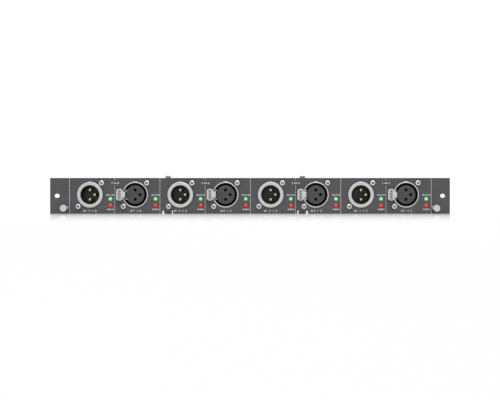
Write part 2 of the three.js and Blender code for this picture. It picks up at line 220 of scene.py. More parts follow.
def inset(loop, amount):
    """Moves an outline towards its left, where the material is."""
    if not amount:
        return loop
    points = []
    for i, point in enumerate(loop):
        here, before, after = Vector(point), Vector(loop[i - 1]), Vector(loop[(i + 1) % len(loop)])
        first, second = (here - before).normalized(), (after - here).normalized()
        normal = Vector((-first.y - second.y, first.x + second.x))
        if normal.length < 1e-9:
            normal = Vector((-first.y, first.x))
        normal.normalize()
        stretch = max(0.35, normal.dot(Vector((-first.y, first.x))))
        points.append(tuple(here + normal * amount / stretch))
    return points


def slab(loops, low, high, bevel=0.2, place=STAND, steps=2):
    """A plate from an outline and its holes, with rounded edges."""
    bm = bmesh.new()
    loops = [list(loop) for loop in loops]
    for i, loop in enumerate(loops):
        if (area(loop) > 0) != (i == 0):
            loop.reverse()
    turns = [math.pi / 2 * k / steps for k in range(steps + 1)] if bevel else [0]
    levels = [(bevel * (1 - math.sin(a)), low + bevel * (1 - math.cos(a))) for a in turns]
    levels += [(amount, low + high - level) for amount, level in reversed(levels)]
    rings = [[] for _ in levels]
    for loop in loops:
        column = []
        for amount, level in levels:
            points = [(u, v, level) for u, v in inset(loop, amount)]
            column.append([bm.verts.new([point[i] for i in place]) for point in points])
        for lower, upper in zip(column, column[1:]):
            bridge(bm, lower, upper)
        for ring, made in zip(rings, column):
            ring.append(made)
    for ring, amount in ((rings[0], levels[0][0]), (rings[-1], levels[-1][0])):
        flat = [[Vector((*point, 0)) for point in inset(loop, amount)] for loop in loops]
        vertices = [v for made in ring for v in made]
        for a, b, c in tessellate_polygon(flat):
            if len({a, b, c}) == 3:
                try:
                    bm.faces.new((vertices[a], vertices[b], vertices[c]))
                except ValueError:
                    pass
    return outward(bm)


def strip(path, thickness, low, high, bevel=0.15, place=SIDE):
    """Bent sheet: a path drawn along the middle of the sheet, from low to high across its width."""
    left = inset_open(path, thickness / 2)
    right = inset_open(path, -thickness / 2)
    return slab([left + right[::-1]], low, high, bevel, place)


def inset_open(path, amount):
    """Moves an open path sideways."""
    points = []
    for i, point in enumerate(path):
        before, after = path[max(i - 1, 0)], path[min(i + 1, len(path) - 1)]
        along = (Vector(after) - Vector(before)).normalized()
        points.append(tuple(Vector(point) + Vector((-along.y, along.x)) * amount))
    return points


def block(x, y, z, bevel=0.3):
    """A box with rounded edges between pairs of limits."""
    return slab([rectangle(*x, *y, bevel)], *z, bevel, FLAT)


def moved(bm, x=0.0, y=0.0, z=0.0, turn=0, axis="Z"):
    """Turns a shape about an axis through the origin, then moves it."""
    if turn:
        spin = Matrix.Rotation(math.radians(turn), 3, axis)
        bmesh.ops.rotate(bm, verts=bm.verts, cent=(0, 0, 0), matrix=spin)
    bmesh.ops.translate(bm, verts=bm.verts, vec=(x, y, z))
    return bm


def upright(bm, x, y, z):
    """Stands a turned shape up, with its depth as height."""
    return moved(bm, x, y, z, 90, "X")


def mesh_of(name, parts, smooth=32):
    """One mesh in metres from parts drawn in millimetres, with the sharp edges kept sharp."""
    whole = bmesh.new()
    for part in parts:
        scratch = bpy.data.meshes.new("scratch")
        part.to_mesh(scratch)
        part.free()
        whole.from_mesh(scratch)
        bpy.data.meshes.remove(scratch)
    bmesh.ops.scale(whole, vec=(MM, MM, MM), verts=whole.verts)
    mesh = bpy.data.meshes.new(name)
    whole.to_mesh(mesh)
    whole.free()
    mesh.shade_smooth()
    mesh.set_sharp_from_angle(angle=math.radians(smooth))
    return mesh


def piece(name, shape, material, body=CARD, at=(0, 0, 0), replaces=()):
    """Puts a piece in place. at is (x, depth, z); shape is a mesh or a list of parts in millimetres."""
    mesh = shape if isinstance(shape, bpy.types.Mesh) else mesh_of(name, shape)
    obj = add_object(name, mesh)
    if not mesh.materials:
        mesh.materials.append(MATERIALS[material])
    obj.location = Vector((at[0], PANEL_FRONT + at[1], at[2])) * MM
    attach(obj, body)
    if replaces:
        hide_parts(*replaces)
    return obj


# ---- Materials ----

class Nodes:
    """A material's node tree, with short calls to add and join nodes."""

    def __init__(self, name):
        self.material = bpy.data.materials.new(name)
        self.material.use_nodes = True
        self.tree = self.material.node_tree
        self.shader = self.tree.nodes["Principled BSDF"]

    def add(self, kind, settings=None, **inputs):
        node = self.tree.nodes.new(f"ShaderNode{kind}")
        for key, value in (settings or {}).items():
            setattr(node, key, value)
        for key, value in inputs.items():
            self.feed(node, key.replace("_", " "), value)
        return node

    def feed(self, node, key, value):
        socket = node.inputs[int(key[1:])] if key[0] == "i" and key[1:].isdigit() else node.inputs[key]
        if isinstance(value, bpy.types.NodeSocket):
            self.tree.links.new(value, socket)
        elif isinstance(value, bpy.types.Node):
            self.tree.links.new(value.outputs[0], socket)
        else:
            socket.default_value = value

    def set(self, **inputs):
        for key, value in inputs.items():
            self.feed(self.shader, key.replace("_", " "), value)

    def position(self, stretch=(1, 1, 1)):
        """The piece's own coordinates in metres, stretched."""
        coords = self.add("TexCoord").outputs["Object"]
        return self.add("Mapping", Vector=coords, Scale=stretch)

    def noise(self, scale, detail, stretch=(1, 1, 1)):
        place = self.position(stretch)
        return self.add("TexNoise", Vector=place, Scale=scale, Detail=detail).outputs["Fac"]

    def ramp(self, factor, low, high, start=0.35, end=0.65):
        """A factor spread from one grey or colour to another."""
        node = self.add("ValToRGB", Fac=factor)
        stops = node.color_ramp.elements
        stops[0].position, stops[0].color = start, colour(low)
        stops[1].position, stops[1].color = end, colour(high)
        return node.outputs["Color"]

    def bump(self, height, distance, strength):
        """Bumps of a size given in millimetres."""
        return self.add("Bump", Height=height, Distance=distance * MM, Strength=strength).outputs["Normal"]


def colour(value):
    """A linear colour with alpha from a grey or a triple."""
    return (value, value, value, 1) if isinstance(value, (int, float)) else (*value, 1)


def shade(base, share):
    return tuple(c * share for c in base)


def powder_coat(name, base):
    """Fine-textured stoved paint: orange-peel bumps, faint mottling and a satin gloss."""
    n = Nodes(name)
    broad = n.noise(22, 2)
    fine = n.noise(2600, 2)
    n.set(Base_Color=n.ramp(broad, shade(base, 0.95), shade(base, 1.05)), Roughness=n.ramp(fine, 0.44, 0.58),
          Normal=n.bump(fine, 0.02, 0.35), Specular_IOR_Level=0.35)
    return n.material


def brushed_metal(name, base, rough, grain=900, depth=0.004, stretch=(1, 1, 1)):
    """Metal with a fine grain, which may be stretched one way, and slight tarnish."""
    n = Nodes(name)
    lines = n.noise(grain, 4, stretch)
    cloud = n.noise(60, 3)
    n.set(Base_Color=n.ramp(cloud, shade(base, 0.92), shade(base, 1.04)), Metallic=1,
          Roughness=n.ramp(lines, rough - 0.07, rough + 0.09), Normal=n.bump(lines, depth, 0.5))
    return n.material


def turned_metal(name, base, rough, pitch=0.12):
    """Metal with fine rings about the piece's own Y axis, as left by turning."""
    n = Nodes(name)
    rings = n.add("TexWave", {"wave_type": "RINGS", "rings_direction": "Y"}, Vector=n.position(),
                  Scale=1 / (pitch * MM) / 20, Distortion=1.5, Detail=2.0).outputs["Fac"]
    cloud = n.noise(140, 3)
    n.set(Base_Color=n.ramp(cloud, shade(base, 0.94), shade(base, 1.03)), Metallic=1,
          Roughness=n.ramp(rings, rough - 0.04, rough + 0.06), Normal=n.bump(rings, 0.003, 0.25))
    return n.material


def zinc_plate(name):
    """Zinc-plated sheet: soft spangle, faint grain."""
    n = Nodes(name)
    cells = n.add("TexVoronoi", {"feature": "F1"}, Vector=n.position(), Scale=160.0).outputs["Color"]
    spangle = n.add("SeparateColor", Color=cells).outputs[0]
    grain = n.noise(1200, 3, (1, 0.05, 1))
    n.set(Base_Color=n.ramp(spangle, (0.40, 0.41, 0.43), (0.52, 0.53, 0.54), 0.0, 1.0),
          Roughness=n.ramp(grain, 0.34, 0.5), Normal=n.bump(grain, 0.004, 0.4), Metallic=1)
    return n.material


def moulded(name, base, rough, texture=0.012, scale=1800):
    """Moulded plastic: fine spark-eroded texture and slight sheen variation."""
    n = Nodes(name)
    grain = n.noise(scale, 3)
    broad = n.noise(90, 2)
    n.set(Base_Color=n.ramp(broad, shade(base, 0.9), shade(base, 1.1)), Specular_IOR_Level=0.4,
          Roughness=n.ramp(grain, rough - 0.05, rough + 0.1), Normal=n.bump(grain, texture, 0.4))
    return n.material


def lens(name, glow, body):
    """A lit lamp: clear resin whose glow varies slightly."""
    n = Nodes(name)
    depth = n.noise(400, 1)
    n.set(Base_Color=n.ramp(depth, shade(body, 0.9), body), Roughness=n.ramp(depth, 0.15, 0.25),
          Emission_Color=n.ramp(depth, shade(glow, 0.94), glow), Emission_Strength=0.8,
          Specular_IOR_Level=0.3)
    return n.material


def solder_mask(name):
    """Green board: fibre weave under a glossy mask."""
    n = Nodes(name)
    weave = n.add("TexBrick", {"offset": 0.5}, Vector=n.position(), Scale=900.0,
                  Color1=colour(0.45), Color2=colour(0.55), Mortar=colour(0.35)).outputs["Color"]
    cloud = n.noise(35, 3)
    n.set(Base_Color=n.ramp(cloud, (0.010, 0.060, 0.024), (0.014, 0.082, 0.034)), Coat_Weight=0.25,
          Roughness=n.ramp(cloud, 0.3, 0.42), Normal=n.bump(weave, 0.006, 0.3))
    return n.material


def solder_track(name):
    """Copper under the solder mask."""
    n = Nodes(name)
    cloud = n.noise(200, 2)
    n.set(Base_Color=n.ramp(cloud, (0.022, 0.125, 0.046), (0.03, 0.16, 0.06)), Coat_Weight=0.25,
          Roughness=n.ramp(cloud, 0.28, 0.36))
    return n.material


def ink(name, base):
    """Screen-printed ink: matt, slightly uneven."""
    n = Nodes(name)
    speck = n.noise(3000, 2)
    n.set(Base_Color=n.ramp(speck, shade(base, 0.92), base),
          Roughness=n.ramp(speck, 0.55, 0.7), Normal=n.bump(speck, 0.004, 0.3))
    return n.material


MATERIALS = {
    "paint": powder_coat("dark_powder_coat", (0.043, 0.043, 0.048)),
    "zinc": zinc_plate("zinc_plate"),
    "nickel": turned_metal("satin_nickel", (0.50, 0.50, 0.495), 0.34),
    "cast": brushed_metal("cast_nickel", (0.5, 0.5, 0.5), 0.42, 700),
    "screw": turned_metal("screw_steel", (0.60, 0.60, 0.60), 0.3, 0.09),
    "dull": brushed_metal("dull_zinc", (0.27, 0.27, 0.28), 0.45, 700),
    "bright": brushed_metal("bright_nickel", (0.96, 0.96, 0.97), 0.15, 500),
    # Dark metal lining the screws' recesses, as painted shade in the hollow.
    "painted_recess_shade": turned_metal("painted_recess_shade", (0.24, 0.24, 0.25), 0.4),
    "cup": moulded("cup_plastic", (0.026, 0.025, 0.022), 0.5),
    "black": moulded("black_plastic", (0.014, 0.014, 0.015), 0.5),
    # Near black: black plastic darkened further, as painted shade for the deep gaps and holes of the input
    # ports.
    "deep": moulded("black_plastic_painted_shade", (0.004, 0.004, 0.004), 0.6),
    "grey": moulded("grey_plastic", (0.030, 0.029, 0.032), 0.55),
    "beige": moulded("connector_plastic", (0.36, 0.34, 0.29), 0.55),
    "gold": turned_metal("contact_gold", (0.43, 0.42, 0.255), 0.3),
    "tin": brushed_metal("solder_tin", (0.62, 0.62, 0.60), 0.3, 500, 0.01),
    "green": lens("green_lens", (0.31, 0.95, 0.31), (0.02, 0.18, 0.02)),
    "red": lens("red_lens", (0.96, 0.05, 0.05), (0.2, 0.004, 0.004)),
    "board": solder_mask("solder_mask"),
    "ink": ink("legend_ink", (0.40, 0.40, 0.415)),
    "dark_ink": ink("dark_ink", (0.07, 0.07, 0.07)),
    "silk": ink("board_print", (0.62, 0.62, 0.60)),
    "copper": solder_track("solder_track"),
    "ferrite": moulded("ferrite", (0.035, 0.034, 0.033), 0.7, 0.02, 900),
    "tan": moulded("ceramic_tan", (0.33, 0.22, 0.13), 0.5, 0.01),
    "can": brushed_metal("capacitor_can", (0.62, 0.62, 0.63), 0.3, stretch=(1, 1, 0.1)),
}


# ---- Front panel ----

NOTCHES = [-69.6, 44.4]
NOTCH_WIDTH, NOTCH_HEIGHT, TONGUE_WIDTH = 9.0, 2.3, 6.0


def panel_outline():
    """The panel with its two notches."""
    corners = [(-PANEL_HALF, 0, 0.4)]
    for x in NOTCHES:
        left, right = x - NOTCH_WIDTH / 2, x + NOTCH_WIDTH / 2
        corners += [(left, 0, 0.3), (left, NOTCH_HEIGHT, 0.5), (right, NOTCH_HEIGHT, 0.5), (right, 0, 0.3)]
    corners += [(PANEL_HALF, 0, 0.4), (PANEL_HALF, PANEL_HEIGHT, 0.4), (-PANEL_HALF, PANEL_HEIGHT, 0.4)]
    return rounded(corners)


def female_opening(x):
    """A round opening with a slot at its left for the lever."""
    radius, half, left = 11.35, 3.2, 13.6
    angle = math.degrees(math.asin(half / radius))
    return arc((x, PORT_Z), radius, angle - 180, 180 - angle, 60) + [
        (x - left, PORT_Z + half), (x - left, PORT_Z - half)]


def tongue(x):
    """The sheet's own tongue, bent back under the board."""
    bend, length = 2.3, 10.0
    path = [(1, 3.4)] + arc((bend, bend), bend - 1, 180, 270, 8) + [(bend + length, 1)]
    return strip(path, 1.96, x - TONGUE_WIDTH / 2, x + TONGUE_WIDTH / 2)


def screw_holes(x=0, z=0):
    """The two screw holes of a port."""
    return [circle((x + s * SCREW_OFFSET, z + s * SCREW_OFFSET), 1.6, 24) for s in (1, -1)]


def ear_holes():
    """A round hole for each corner fastener, and the oval hole beside it."""
    holes = []
    for side, middle, half in (("left", -162.85, 2.2), ("right", 162.6, 2.1)):
        pivot = PIVOTS[f"fastener_{side}"]
        holes.append(circle((pivot.x, pivot.z), KNOB_OPENING, 32))
        holes.append([(middle + half * u, 15.05 + 1.75 * v) for u, v in circle((0, 0), 1, 40)])
    return holes


def front_panel():
    holes = []
    for (side, _), (x, z) in PORTS.items():
        holes.append(circle((x, z), OUTPUT_OPENING, 72) if side == "output" else female_opening(x))
        holes += screw_holes(x, z)
        holes += [circle((x + LAMP_X, lamp), LAMP_OPENING, 32) for lamp in LAMP_Z.values()]
    plate = slab([panel_outline(), *holes, *ear_holes()], 0, SHEET, 0.06)
    piece("front_panel_sheet", [plate, *map(tongue, NOTCHES)], "paint",
          replaces=["front_panel"])


def printed(*loops):
    """A film of ink on the panel."""
    return slab(loops, -0.03, 0.01, 0)


def bar(x, z, width, height):
    """A printed rule or stroke."""
    return printed(centred(x, z, width, height))


def numerals(text, x, z, height):
    """Printed numerals, centred; height is the height of a capital."""
    data = bpy.data.curves.new("numerals", "FONT")
    data.body, data.align_x, data.align_y = text, "CENTER", "CENTER"
    data.size, data.extrude, data.resolution_u, data.offset = height / 0.72, 0.015, 3, 0.04
    obj = add_object("numerals", data)
    bpy.context.view_layer.update()
    mesh = bpy.data.meshes.new_from_object(obj)
    bpy.data.objects.remove(obj)
    bm = bmesh.new()
    bm.from_mesh(mesh)
    bpy.data.meshes.remove(mesh)
    bmesh.ops.remove_doubles(bm, verts=bm.verts, dist=0.0005)
    return upright(bm, x, -0.015, z)


def arrow(x, z, length, height, out):
    """A small arrow: out of the panel for an output, into it for an input."""
    tip, tail = (x - length / 2, x + length / 2) if out else (x + length / 2, x - length / 2)
    toward = 1 if tail > tip else -1
    head = tip + toward * height * 0.9
    half, line = height / 2, 0.16
    return printed([(tip, z), (head, z + half), (head, z + line), (tail, z + line), (tail, z - line),
                    (head, z - line), (head, z - half)])


def rules():
    """Upright lines: whole between pairs of ports, broken between the ports of a pair."""
    parts = []
    for k in range(9):
        x = (k - 4) * RULE_PITCH + RULE_SHIFT
        if k % 2:
            parts += [bar(x, 11.9, 0.24, 23.8), bar(x, 28.9, 0.24, 2.3)]
        else:
            parts.append(bar(x, PANEL_HEIGHT / 2, 0.28, PANEL_HEIGHT - 0.2))
    return parts


def printing():
    """The rules, and generic numerals and signs where the card has its legends."""
    parts = rules()
    for (side, label), (x, _) in PORTS.items():
        out = side == "output"
        if out:
            middle = x + PITCH / 2 + 2.1
            parts += [numerals(digit, middle + shift, 25.7, 1.8) for digit, shift in zip(label, (-2.7, 2.7))]
            parts.append(bar(middle, 25.7, 2.6, 0.7))
        reach = 0 if out else 0.9
        for sign, shift in zip(f"{label[0]}+{label[1]}", (-0.6, 2.1, 4.8)):
            parts.append(numerals(sign, x + shift - reach / 2, 2.25, 1.9))
        parts.append(arrow(x - 4.2 + reach, 2.25, 3.6 - reach, 1.8, out))
        lamp = x + LAMP_X
        parts += sign_above(lamp, 15.7) + sign_below(lamp, 3.6, out)
    piece("panel_printing", parts, "ink")


def sign_above(x, z):
    """A tick between two short bars."""
    tick = rounded([(x - 1.0, z + 0.1), (x - 0.3, z - 0.75), (x + 1.0, z + 0.7), (x + 0.6, z + 0.85),
                    (x - 0.3, z - 0.1), (x - 0.7, z + 0.4)])
    return [printed(tick), bar(x - 2.4, z, 1.9, 0.8), bar(x + 2.4, z, 1.9, 0.8)]


def sign_below(x, z, out):
    """A cross for an output or a ring for an input, between two short bars."""
    middle = printed(circle((x, z), 0.8, 24), circle((x, z), 0.38, 24))
    if out:
        half, arm = 0.25, 0.95
        cross = [(half, half), (arm, half), (arm, -half), (half, -half), (half, -arm), (-half, -arm),
                 (-half, -half), (-arm, -half), (-arm, half), (-half, half), (-half, arm), (half, arm)]
        middle = moved(printed(cross), x, 0, z, 45, "Y")
    return [middle, bar(x - 2.0, z, 1.6, 0.75), bar(x + 2.0, z, 1.6, 0.75)]


# ---- Ports ----

def male_shell():
    """The silver ring of an output port with its barrel, and the flange behind the panel."""
    ring = lathe(rounded([(MALE_INNER, MALE_FRONT, 0.1), (MALE_OUTER, MALE_FRONT, 0.4),
                          (MALE_OUTER, BARREL_BACK, 0.2), (MALE_INNER, BARREL_BACK)]), 96)
    plate = slab([centred(0, 0, 2 * FLANGE_HALF, 2 * FLANGE_HALF, 2.2),
                  circle((0, 0), MALE_OUTER - 0.05, 64), *screw_holes()], FLANGE_FRONT, FLANGE_BACK, 0.3)
    return [ring, plate, index_lip(MALE_OUTER, 1.3, 0.15, MALE_FRONT + 0.2)]


def index_lip(radius, half, rise, front):
    """The small raised lip at the top of a ring's rim."""
    foot, crest = radius - 0.7, radius + rise
    corners = [(-half - 0.5, foot), (half + 0.5, foot), (half, crest, 0.3), (-half, crest, 0.3)]
    return slab([rounded(corners)], front, -0.12, 0.15, steps=2)


def male_insert():
    """The cup of an output port: floor, wall and the collars its pins stand in."""
    floor = rounded([(0, CUP_FLOOR), (7.6, CUP_FLOOR, 0.3), (7.6, 16), (0, 16)], closed=False)
    wall = rounded([(7.82, MALE_FRONT + 0.9), (8.07, MALE_FRONT + 0.7), (8.07, 12.9), (7.5, 12.9)])
    collar = rounded([(0, 12), (1.9, 12, 0.2), (1.9, 13), (0, 13)], closed=False)
    collars = [lathe(collar, 32, centre=c) for c in CONTACTS]
    return [lathe(floor, 64), lathe(wall, 80), *collars, *insert_block()]


def insert_block():
    """The moulded block that stands on the board behind a barrel, with ribs on its back."""
    bottom = TOP + 0.3 - PORT_Z
    outline = rounded([(-9.5, bottom), (9.5, bottom), (9.5, 4), (5, 9), (-5, 9), (-9.5, 4)], 0.8)
    ribs = [block((x - 0.5, x + 0.5), (23.6, 24.0), (bottom + 1, 6.5), 0.15) for x in (-6, -2, 2, 6)]
    return [slab([outline], BARREL_BACK + 0.3, 23.8, 0.4), *ribs]


def solder_tails():
    """Flat contact tails from the block down into the board, with their solder."""
    bottom = TOP - PORT_Z
    parts = []
    for x in (-5.08, 0, 5.08):
        path = [(22.5, bottom + 3), (25.0, bottom + 3), (25.4, bottom + 2.4), (25.4, bottom - 2.2)]
        parts.append(strip(rounded(path, 0.4, 4, False), 0.4, x - 0.5, x + 0.5, 0.08))
        parts += [moved(joint, x, 25.4, bottom) for joint in solder_joint()]
    return parts


def solder_joint():
    """A cone of solder above and below the board, drawn about the board's top face."""
    cone = rounded([(0, -0.9), (0.45, -0.8, 0.1), (0.95, 0), (0, 0)], 0.05, 3, False)
    return [moved(lathe(cone, 20), turn=-90, axis="X"), upright(lathe(cone, 20), 0, 0, BOTTOM - TOP)]


def contact_pins():
    """Three pins with rounded tips."""
    profile = rounded([(0, PIN_TIP), (1.13, PIN_TIP, 1.0), (1.13, CUP_FLOOR + 1), (0, CUP_FLOOR + 1)],
                      steps=8, closed=False)
    return [lathe(profile, 32, centre=c) for c in CONTACTS]


def female_shell():
    """The thin ring of an input port, open at its left for the lever, with the flange and two cheeks."""
    bore, half = FEMALE_OUTER - 0.05, 2.9
    gap = 2 * math.degrees(math.asin(half / 10.4))
    profile = rounded([(FEMALE_INNER + 0.03, FEMALE_FRONT, 0.1), (FEMALE_OUTER, FEMALE_FRONT, 0.3),
                       (FEMALE_OUTER, BARREL_BACK, 0.2), (FEMALE_INNER + 0.03, BARREL_BACK)])
    ring = lathe(profile, 96, sweep=360 - gap)
    angle = math.degrees(math.asin(half / bore))
    corners = [(-FLANGE_HALF, -half), (-FLANGE_HALF, -FLANGE_HALF, 2.2), (FLANGE_HALF, -FLANGE_HALF, 2.2),
               (FLANGE_HALF, FLANGE_HALF, 2.2), (-FLANGE_HALF, FLANGE_HALF, 2.2), (-FLANGE_HALF, half)]
    outline = rounded(corners, closed=False) + arc((0, 0), bore, 180 - angle, angle - 180, 64)
    plate = slab([outline, *screw_holes()], FLANGE_FRONT, FLANGE_BACK, 0.25)
    cheek = [(-13.2, FLANGE_FRONT), (-10.4, FLANGE_FRONT), (-10.4, 8.2), (-12.6, 8.2), (-13.2, 7.4)]
    cheeks = [slab([rounded(cheek, 0.3), circle(LEVER_PIN, 0.8, 20)], *z, 0.15, FLAT)
              for z in ((2.9, 4.8), (-4.8, -2.9))]
    return [ring, plate, index_lip(FEMALE_OUTER, 1.8, 0.2, FEMALE_FRONT + 0.1), *cheeks]


def female_insert():
    """The face of an input port with its three holes, and the body behind it."""
    face = slab([circle((0, 0), INSERT_RADIUS, 80), *(circle(c, 1.3, 28) for c in CONTACTS)],
                INSERT_FRONT, 11, 0.35, steps=3)
    back = lathe(rounded([(0, 10.9), (INSERT_RADIUS - 0.1, 10.9), (INSERT_RADIUS - 0.1, 13.2, 0.2),
                          (9.5, 13.2, 0.2), (9.5, 16), (0, 16)], closed=False), 64)
    return [face, back, *insert_block()]


def black_liner():
    """The black bore and floor of a female port, a block behind its lever, and its sockets' walls: black
    plastic made darker than the other black parts, as painted shade in the deep gap and holes, with the block
    standing in for the shade behind the lever.
    """
    gap = 2 * math.degrees(math.asin(3.3 / 9.6))
    bore = lathe([(9.6, -0.3), (FEMALE_INNER, -0.5), (FEMALE_INNER, 13), (9.6, 13)], 80, sweep=360 - gap)
    ends = [lathe([(0.8, 2.2), (1.28, 2.2), (1.28, 10.8), (0.8, 10.8)], 24, centre=c) for c in CONTACTS]
    floor = lathe([(INSERT_RADIUS + 0.05, 12.2), (9.8, 12.2), (9.8, 13.1), (INSERT_RADIUS + 0.05, 13.1)], 64)
    behind_lever = block((-13.0, -8.0), (8.4, 12.6), (-2.85, 2.85), 0.15)
    return [bore, floor, behind_lever, *ends]


def lever_pin(radius, half, edge, segments):
    """A round bar on the lever's pivot, along it."""
    profile = rounded([(0, -half), (radius, -half, edge), (radius, half, edge), (0, half)], closed=False)
    return upright(lathe(profile, segments), *LEVER_PIN, 0)


def latch():
    """The push plate with its neck, the hook, and the stem on its pivot."""
    neck = [(-10.9, 4.9, 1.8), (-10.1, 2.6, 1.0), (-8.0, 2.3, 0.5)]
    outline = [(-15.75, -4.9, 2.0), *((x, -z, r) for x, z, r in neck), *reversed(neck), (-15.75, 4.9, 2.0)]
    plate = slab([rounded(outline, steps=6)], -3.96, -2.8, 0.3, steps=3)
    hook = block((-9.35, -8.65), (-3.2, 1.5), (-1.15, 1.15), 0.2)
    stem = block((-12.2, -11.0), (-3.2, 5.4), (-2.35, 2.35), 0.2)
    return [plate, hook, stem, lever_pin(1.2, 2.4, 0.2, 32), lever_pin(0.6, 4.4, 0.15, 24)]


def contact_clip():
    """The two bright legs of a spring clip, deep in the gap between the insert and the bore."""
    leg = [(-9.4, 3.1), (-8.2, 4.6), (-7.25, 3.6), (-8.5, 2.25)]
    return [slab([rounded([(x, sign * z) for x, z in leg], 0.15)], 5.6, 8.3, 0.1, steps=3)
            for sign in (1, -1)]


def latch_grip():
    """Dark lines across the push plate, in place of any lettering."""
    return [slab([centred(-13, z, 2.6, 0.8, 0.38)], -4.0, -3.86, 0.02)
            for z in (-3.6, -2.4, -1.2, 0, 1.2, 2.4, 3.6)]


def port_screw():
    """A pan head with a six-lobed recess, and a threaded shank."""
    recess = [(0, -0.8), (0.95, -0.85), (1.15, -1.9), (1.22, -2.1)]
    dome = [(1.55, -2.1), (1.95, -1.9), (2.25, -1.45), (2.38, -0.95), (2.38, -0.35), (2.3, -0.3), (1.1, -0.3)]
    thread = [(r, y / 10) for y in range(0, 62, 4) for r, y in ((1.2, y), (1.0, y + 2))]
    return [lathe(recess + dome + thread + [(0.8, 6.3), (0, 6.3)], 48,
                  lobes={1: (6, 0.12), 2: (6, 0.12), 3: (6, 0.1)})]


def screw_recess():
    """A dark liner on the bottom and walls of a screw's recess: painted shade in the hollow."""
    cup = [(0, -0.9), (0.9, -0.95), (1.12, -1.9), (1.05, -1.9), (0.8, -1.15), (0, -1.1)]
    return [lathe(cup, 48, lobes={1: (6, 0.12), 2: (6, 0.12), 3: (6, 0.12), 4: (6, 0.12)})]


def lamp_lens():
    """A lamp with a rounded front."""
    dome = arc((0, LAMP_RADIUS - 1.05), LAMP_RADIUS, -90, 0, 12)
    return [lathe([(max(r, 0), depth) for r, depth in dome] + [(LAMP_RADIUS, 3), (0, 3)], 40)]


def lamp_housing():
    """A two-high lamp holder: a ribbed block with a collar round each lamp."""
    outline = rectangle(-2.3, 2.3, TOP + 0.3, LAMP_Z["green"] + 2.9, 0.4)
    body = slab([outline], FLANGE_FRONT + 0.4, 9.3, 0.25)
    bore = LAMP_RADIUS + 0.05
    collar = rounded([(bore, 2.3, 0.05), (2.1, 2.3, 0.1), (2.1, 3), (bore, 3)])
    collars = [lathe(collar, 40, centre=(0, z)) for z in LAMP_Z.values()]
    ribs = [block((-2.0, 2.0), (9.1, 9.5), (z - 0.25, z + 0.25), 0.1) for z in (6, 8, 10, 12, 14)]
    return [body, *collars, *ribs]


PORT_SHAPES = {
    "male_shell": male_shell, "male_insert": male_insert, "pins": contact_pins, "tails": solder_tails,
    "female_shell": female_shell, "female_insert": female_insert, "liner": black_liner, "latch": latch,
    "grip": latch_grip, "clip": contact_clip, "screw": port_screw, "recess": screw_recess,
    "lens_green": lamp_lens, "lens_red": lamp_lens, "housing": lamp_housing,
}
# For each side: (name, shape, material, slot, CAD node it replaces). A label follows each name.
PORT_PIECES = {
    "output": [
        ("output_ring", "male_shell", "nickel", "nickel", "output_shell"),
        ("output_socket", "male_insert", "cup", "black_plastic", "output_insert"),
        ("output_pins", "pins", "gold", "contact_gold", None),
    ],
    "input": [
        ("input_ring", "female_shell", "nickel", "nickel", "input_shell"),
        ("input_socket", "female_insert", "grey", "grey_plastic", "input_insert"),
        # The liner's near black is partly black plastic and partly painted shade in the gap and socket holes.
        ("input_liner", "liner", "deep", "black_plastic", None),
        ("latch_lever", "latch", "cast", "nickel", "input_latch"),
        ("latch_grip", "grip", "dark_ink", "legend_ink", None),
        ("input_clip", "clip", "bright", "nickel", None),
    ],
}


def make_ports():
    """Eight ports with their screws and lamps, from one mesh for each kind of piece."""
    rounder = ("latch", "screw", "recess")
    shapes = {name: mesh_of(name, make(), 40 if name in rounder else 32)
              for name, make in PORT_SHAPES.items()}
    for (side, label), (x, z) in PORTS.items():
        at = (x, 0, z)
        for name, shape, material, slot, node in PORT_PIECES[side]:
            body = f"latch_{label}" if name.startswith("latch") else CARD
            replaces = [f"{node}_{label}"] if node else ()
            piece(f"{name}_{label}", shapes[shape], material, body, at, replaces)
        piece(f"{side}_tails_{label}", shapes["tails"], "tin", at=at)
        for place, sign in (("upper", 1), ("lower", -1)):
            centre = (x + sign * SCREW_OFFSET, 0, z + sign * SCREW_OFFSET)
            piece(f"{side}_panhead_{place}_{label}", shapes["screw"], "screw", at=centre,
                  replaces=[f"{side}_screw_{place}_{label}"])
            # A dark liner in each screw's recess: painted shade.
            piece(f"{side}_recess_{place}_{label}", shapes["recess"], "painted_recess_shade", at=centre)
        piece(f"{side}_lamp_housing_{label}", shapes["housing"], "black",
              at=(x + LAMP_X, 0, 0), replaces=[f"{side}_lamps_{label}"])
        for tint, height in LAMP_Z.items():
            piece(f"{side}_{tint}_lens_{label}", shapes[f"lens_{tint}"], tint,
                  at=(x + LAMP_X, 0, height))


# ---- Corner fasteners ----

def make_fasteners():
    """Corner fasteners: a turned knob with its shaft and pointer, the pawl behind, and a fixed bush."""
    knob = rounded([(0, -4), (2.92, -4, 0.3), (2.92, -0.6, 0.25), (1.6, -0.6), (1.6, 3.0, 0.1), (1, 3.0),
                    (1, 5.7), (1.7, 5.7, 0.1), (1.7, 6.4, 0.2), (0, 6.4)], 0, 6, False)
    nose = [(1, -1.2), (3.3, -1.2), (4.4, 0.1), (4.4, 1.2), (3.4, 2.2), (1, 2.2)]
    bush = rounded([(1.7, 1.9), (1.98, 1.9), (1.98, 2.0), (2.9, 2.0, 0.15), (2.9, 2.7, 0.15),
                    (1.7, 2.7, 0.1)])
    for side, sign in (("left", -1), ("right", 1)):
        body = f"fastener_{side}"
        at = (PIVOTS[body].x, 0, PIVOTS[body].z)
        piece(f"knob_{side}_turned", [lathe(knob, 64)], "nickel", body, at, [f"knob_{side}"])
        pointer = rounded([(-sign * u, v) for u, v in nose], 0.5)
        piece(f"knob_{side}_pointer", [slab([pointer], -1.9, -0.6, 0.4, steps=3)], "dull", body, at)
        pawl = slab([rectangle(-2, 2, -2, 6.2, 1.6), circle((0, 0), 1.15, 24)], 3.3, 5.4, 0.25)
        piece(f"pawl_{side}_pressed", [pawl], "zinc", body, at, [f"pawl_{side}"])
        piece(f"bush_{side}", [lathe(bush, 32)], "gold", at=at)


